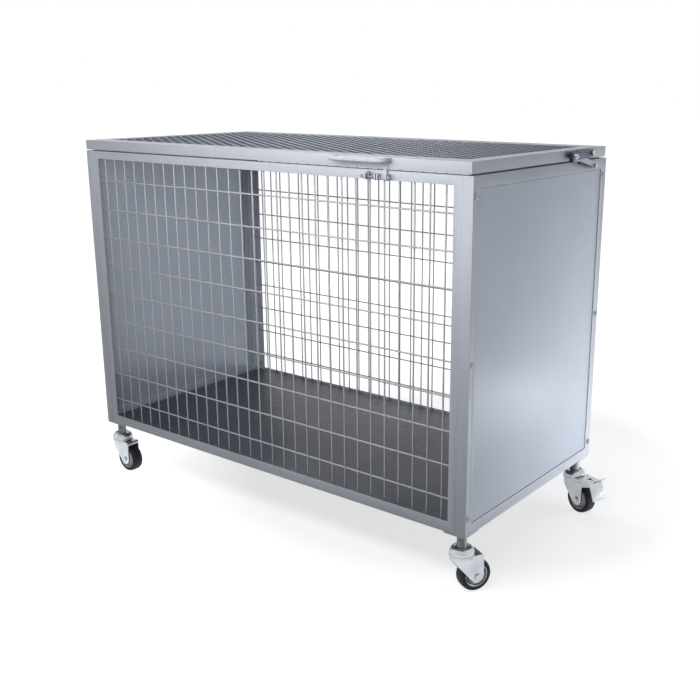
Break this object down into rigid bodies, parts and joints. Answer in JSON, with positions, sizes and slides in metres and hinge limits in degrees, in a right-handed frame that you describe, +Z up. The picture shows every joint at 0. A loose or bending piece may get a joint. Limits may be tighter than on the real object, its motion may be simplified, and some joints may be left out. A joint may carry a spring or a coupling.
{
  "type": "wheeled storage cage",
  "caption": "Steel storage cage on swivel castors, with sheet sides, wire mesh front and rear, and a hinged expanded metal lid held by folding stays.",
  "frame": {"origin": "on the ground, at the centre of the whole object's footprint box", "axes": "+X along the cage's length towards its right side as seen from the front, +Y towards the rear where the lid hinges, +Z up"},
  "size_m": [1.3382, 0.6316, 0.9255],
  "materials": {
    "frame_paint": "silver grey, satin",
    "panel_paint": "blue grey, satin",
    "mesh_paint": "silver grey, satin",
    "floor_paint": "dark grey, satin",
    "zinc_plate": "bright zinc",
    "dark_plate": "dark plated",
    "hub_metal": "turned",
    "tyre_rubber": "black, matt"
  },
  "bodies": {
    "cage": {"side_frame_right": "frame_paint", "side_panel_right": "panel_paint", "corner_bolt_front_right_bottom": "zinc_plate", "corner_bolt_front_right_middle": "zinc_plate", "corner_bolt_front_right_top": "zinc_plate", "corner_bolt_rear_right_bottom": "zinc_plate", "corner_bolt_rear_right_middle": "zinc_plate", "corner_bolt_rear_right_top": "zinc_plate", "hinge_right_body_leaf": "frame_paint", "hinge_right_pin": "zinc_plate", "stay_right_body_bolt": "zinc_plate", "side_frame_left": "frame_paint", "side_panel_left": "panel_paint", "corner_bolt_front_left_bottom": "zinc_plate", "corner_bolt_front_left_middle": "zinc_plate", "corner_bolt_front_left_top": "zinc_plate", "corner_bolt_rear_left_bottom": "zinc_plate", "corner_bolt_rear_left_middle": "zinc_plate", "corner_bolt_rear_left_top": "zinc_plate", "hinge_left_body_leaf": "frame_paint", "hinge_left_pin": "zinc_plate", "stay_left_body_bolt": "zinc_plate", "front_panel_frame": "frame_paint", "front_wire_mesh": "mesh_paint", "rear_panel_frame": "frame_paint", "rear_wire_mesh": "mesh_paint", "floor_tray": "floor_paint", "latch_base": "zinc_plate"},
    "lid": {"hinge_right_lid_leaf": "frame_paint", "stay_right_lid_bolt": "zinc_plate", "hinge_left_lid_leaf": "frame_paint", "stay_left_lid_bolt": "zinc_plate", "lid_frame": "frame_paint", "lid_net": "mesh_paint", "lid_handle": "zinc_plate", "latch_keeper": "frame_paint"},
    "stay_right_lower": {"stay_right_lower_link": "zinc_plate"},
    "stay_right_upper": {"stay_right_upper_link": "dark_plate"},
    "stay_left_lower": {"stay_left_lower_link": "zinc_plate"},
    "stay_left_upper": {"stay_left_upper_link": "dark_plate"},
    "latch_bolt": {"latch_bolt": "zinc_plate"},
    "castor_front_right_swivel": {"castor_front_right_fork": "zinc_plate", "castor_front_right_axle": "zinc_plate"},
    "castor_front_right_wheel": {"castor_front_right_hub": "hub_metal", "castor_front_right_tyre": "tyre_rubber"},
    "castor_front_left_swivel": {"castor_front_left_fork": "zinc_plate", "castor_front_left_axle": "zinc_plate"},
    "castor_front_left_wheel": {"castor_front_left_hub": "hub_metal", "castor_front_left_tyre": "tyre_rubber"},
    "castor_rear_right_swivel": {"castor_rear_right_fork": "zinc_plate", "castor_rear_right_axle": "zinc_plate"},
    "castor_rear_right_wheel": {"castor_rear_right_hub": "hub_metal", "castor_rear_right_tyre": "tyre_rubber"},
    "castor_rear_right_pedal": {"castor_rear_right_brake_pedal": "zinc_plate"},
    "castor_rear_left_swivel": {"castor_rear_left_fork": "zinc_plate", "castor_rear_left_axle": "zinc_plate"},
    "castor_rear_left_wheel": {"castor_rear_left_hub": "hub_metal", "castor_rear_left_tyre": "tyre_rubber"},
    "castor_rear_left_pedal": {"castor_rear_left_brake_pedal": "zinc_plate"}
  },
  "joints": [
    {"name": "lid_hinge", "type": "hinge", "parent": "cage", "child": "lid", "pos_m": [0, 0.3113, 0.9], "axis": [-1, 0, 0], "range_deg": [0, 85]},
    {"name": "stay_right_lower_pivot", "type": "hinge", "parent": "cage", "child": "stay_right_lower", "pos_m": [0.6023, 0.2421, 0.8841], "axis": [-1, 0, 0], "range_deg": [0, 70]},
    {"name": "stay_right_upper_pivot", "type": "hinge", "parent": "lid", "child": "stay_right_upper", "pos_m": [0.6047, 0.2175, 0.915], "axis": [-1, 0, 0], "range_deg": [-79, 0]},
    {"name": "stay_left_lower_pivot", "type": "hinge", "parent": "cage", "child": "stay_left_lower", "pos_m": [-0.6023, 0.2421, 0.8841], "axis": [-1, 0, 0], "range_deg": [0, 70]},
    {"name": "stay_left_upper_pivot", "type": "hinge", "parent": "lid", "child": "stay_left_upper", "pos_m": [-0.6047, 0.2175, 0.915], "axis": [-1, 0, 0], "range_deg": [-79, 0]},
    {"name": "latch_slide", "type": "slide", "parent": "cage", "child": "latch_bolt", "axis": [1, 0, 0], "range_m": [0, 0.012]},
    {"name": "castor_front_right_swivel", "type": "hinge", "parent": "cage", "child": "castor_front_right_swivel", "pos_m": [0.5755, -0.2565, 0.1], "axis": [0, 0, 1], "continuous": true},
    {"name": "castor_front_right_roll", "type": "hinge", "parent": "castor_front_right_swivel", "child": "castor_front_right_wheel", "pos_m": [0.58958, -0.23001, 0.0375], "axis": [-0.8829, 0.4695, 0], "continuous": true},
    {"name": "castor_front_left_swivel", "type": "hinge", "parent": "cage", "child": "castor_front_left_swivel", "pos_m": [-0.5755, -0.2565, 0.1], "axis": [0, 0, 1], "continuous": true},
    {"name": "castor_front_left_roll", "type": "hinge", "parent": "castor_front_left_swivel", "child": "castor_front_left_wheel", "pos_m": [-0.5455, -0.25702, 0.0375], "axis": [0.0175, 0.9998, 0], "continuous": true},
    {"name": "castor_rear_right_swivel", "type": "hinge", "parent": "cage", "child": "castor_rear_right_swivel", "pos_m": [0.5755, 0.2795, 0.1], "axis": [0, 0, 1], "continuous": true},
    {"name": "castor_rear_right_roll", "type": "hinge", "parent": "castor_rear_right_swivel", "child": "castor_rear_right_wheel", "pos_m": [0.60395, 0.26998, 0.0375], "axis": [0.3173, 0.9483, 0], "continuous": true},
    {"name": "castor_rear_right_brake", "type": "hinge", "parent": "castor_rear_right_swivel", "child": "castor_rear_right_pedal", "pos_m": [0.61059, 0.26776, 0.081], "axis": [0.3173, 0.9483, 0], "range_deg": [0, 8], "stiffness_Nm_per_rad": 0.4},
    {"name": "castor_rear_left_swivel", "type": "hinge", "parent": "cage", "child": "castor_rear_left_swivel", "pos_m": [-0.5755, 0.2795, 0.1], "axis": [0, 0, 1], "continuous": true},
    {"name": "castor_rear_left_roll", "type": "hinge", "parent": "castor_rear_left_swivel", "child": "castor_rear_left_wheel", "pos_m": [-0.60395, 0.26998, 0.0375], "axis": [0.3173, -0.9483, 0], "continuous": true},
    {"name": "castor_rear_left_brake", "type": "hinge", "parent": "castor_rear_left_swivel", "child": "castor_rear_left_pedal", "pos_m": [-0.61059, 0.26776, 0.081], "axis": [0.3173, -0.9483, 0], "range_deg": [0, 8], "stiffness_Nm_per_rad": 0.4}
  ],
  "couplings": [
    {"joint": "stay_right_lower_pivot", "follows": "lid_hinge", "ratio": 0.8121},
    {"joint": "stay_right_upper_pivot", "follows": "lid_hinge", "ratio": -0.9227},
    {"joint": "stay_left_lower_pivot", "follows": "lid_hinge", "ratio": 0.8121},
    {"joint": "stay_left_upper_pivot", "follows": "lid_hinge", "ratio": -0.9227}
  ]
}
